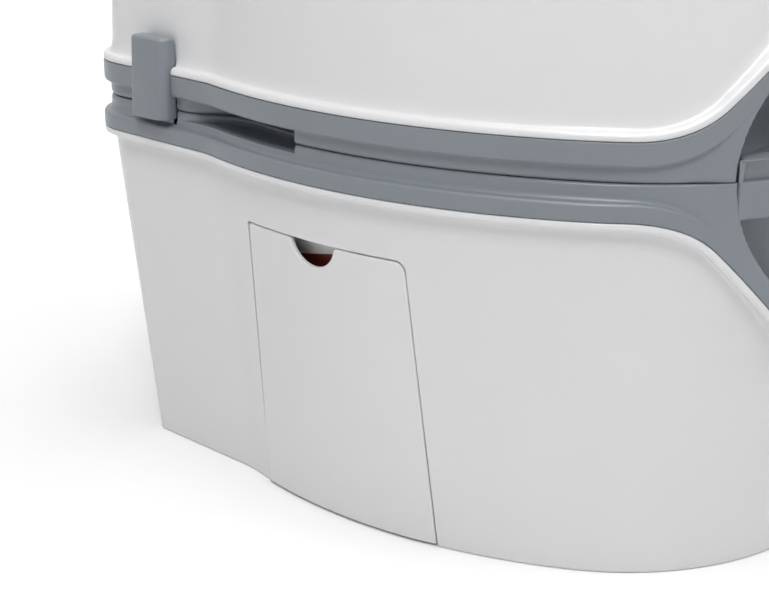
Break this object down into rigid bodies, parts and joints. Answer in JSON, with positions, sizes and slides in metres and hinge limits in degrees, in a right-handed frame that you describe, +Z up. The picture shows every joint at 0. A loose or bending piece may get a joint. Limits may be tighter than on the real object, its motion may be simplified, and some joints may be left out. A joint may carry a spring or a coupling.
{
  "type": "portable toilet",
  "caption": "Two-part portable toilet: white flush tank with seat and lid latched over a waste tank, grey banded split, pull-handle slide valve and a paper-roll door in the flank.",
  "frame": {"origin": "centre of the footprint on the floor", "axes": "the flank with the paper door faces -X, the front with the pull handle faces -Y, +Z up"},
  "size_m": [0.389, 0.45, 0.448],
  "materials": {
    "white_shell": "satin gloss",
    "grey_trim": "satin",
    "grey_knob": "satin",
    "inner_plastic": "satin",
    "seat_white": "gloss",
    "seal_rubber": "matte",
    "pin_steel": "brushed"
  },
  "bodies": {
    "body": {"lower_shell": "white_shell", "flush_shell": "white_shell", "tank_deck": "grey_trim", "deck_scoop": "grey_trim", "deck_cups": "grey_trim", "base_frame": "grey_trim", "frame_scoop": "grey_trim", "frame_cups": "grey_trim", "waste_tank": "inner_plastic", "tank_cover": "inner_plastic", "deck_plate": "inner_plastic", "base_plate": "inner_plastic", "paper_bin": "inner_plastic", "valve_housing": "inner_plastic", "pump_barrel": "inner_plastic", "filler_neck": "inner_plastic", "flush_pipe": "inner_plastic", "flush_nozzle": "inner_plastic", "hinge_post_left": "inner_plastic", "hinge_post_right": "inner_plastic", "bowl": "seat_white", "bowl_gasket": "seal_rubber", "filler_seal": "seal_rubber", "spout_seal": "seal_rubber", "door_pins": "pin_steel", "latch_pins": "pin_steel", "hinge_pins": "pin_steel", "post_screws": "pin_steel", "valve_screws": "pin_steel"},
    "seat": {"seat": "seat_white", "seat_bumpers": "seal_rubber"},
    "lid": {"lid": "white_shell", "lid_bumpers": "seal_rubber"},
    "valve": {"valve_blade": "inner_plastic", "valve_handle": "grey_trim"},
    "paper_door": {"paper_door": "white_shell"},
    "latch_left": {"latch_left": "grey_trim"},
    "latch_right": {"latch_right": "grey_trim"},
    "spout": {"pour_spout": "inner_plastic"},
    "spout_cap": {"spout_cap": "grey_knob"},
    "vent": {"vent_button": "grey_knob"},
    "pump": {"pump_piston": "inner_plastic", "piston_ring": "seal_rubber", "pump_knob": "grey_knob"},
    "filler_cap": {"filler_cap": "grey_knob"}
  },
  "joints": [
    {"name": "seat_hinge", "type": "hinge", "parent": "body", "child": "seat", "pos_m": [0, 0.182, 0.43565], "axis": [-1, 0, 0], "range_deg": [0, 95]},
    {"name": "lid_hinge", "type": "hinge", "parent": "seat", "child": "lid", "pos_m": [0, 0.182, 0.43565], "axis": [-1, 0, 0], "range_deg": [0, 100]},
    {"name": "valve_slide", "type": "slide", "parent": "body", "child": "valve", "axis": [0, -1, 0], "range_m": [0, 0.096]},
    {"name": "paper_door_hinge", "type": "hinge", "parent": "body", "child": "paper_door", "pos_m": [-0.15682, 0.00515, 0.03], "axis": [0.0545, -0.9985, 0], "range_deg": [0, 65]},
    {"name": "latch_left_hinge", "type": "hinge", "parent": "body", "child": "latch_left", "pos_m": [-0.181, 0.146, 0.2115], "axis": [0, -1, 0], "range_deg": [0, 25]},
    {"name": "latch_right_hinge", "type": "hinge", "parent": "body", "child": "latch_right", "pos_m": [0.181, 0.146, 0.2115], "axis": [0, 1, 0], "range_deg": [0, 25]},
    {"name": "spout_swing", "type": "hinge", "parent": "body", "child": "spout", "pos_m": [0.072, 0.178, 0.172], "axis": [0, 0, -1], "range_deg": [0, 90]},
    {"name": "spout_cap_turn", "type": "hinge", "parent": "spout", "child": "spout_cap", "pos_m": [-0.036, 0.178, 0.172], "axis": [1, 0, 0], "range_deg": [0, 90]},
    {"name": "vent_press", "type": "slide", "parent": "body", "child": "vent", "axis": [0, -1, 0], "range_m": [0, 0.005], "stiffness_N_per_m": 300},
    {"name": "pump_slide", "type": "slide", "parent": "body", "child": "pump", "axis": [0, 0, 1], "range_m": [0, 0.05]},
    {"name": "filler_cap_turn", "type": "hinge", "parent": "body", "child": "filler_cap", "pos_m": [-0.129, 0.162, 0.411], "axis": [0, 0, 1], "range_deg": [0, 90]}
  ]
}
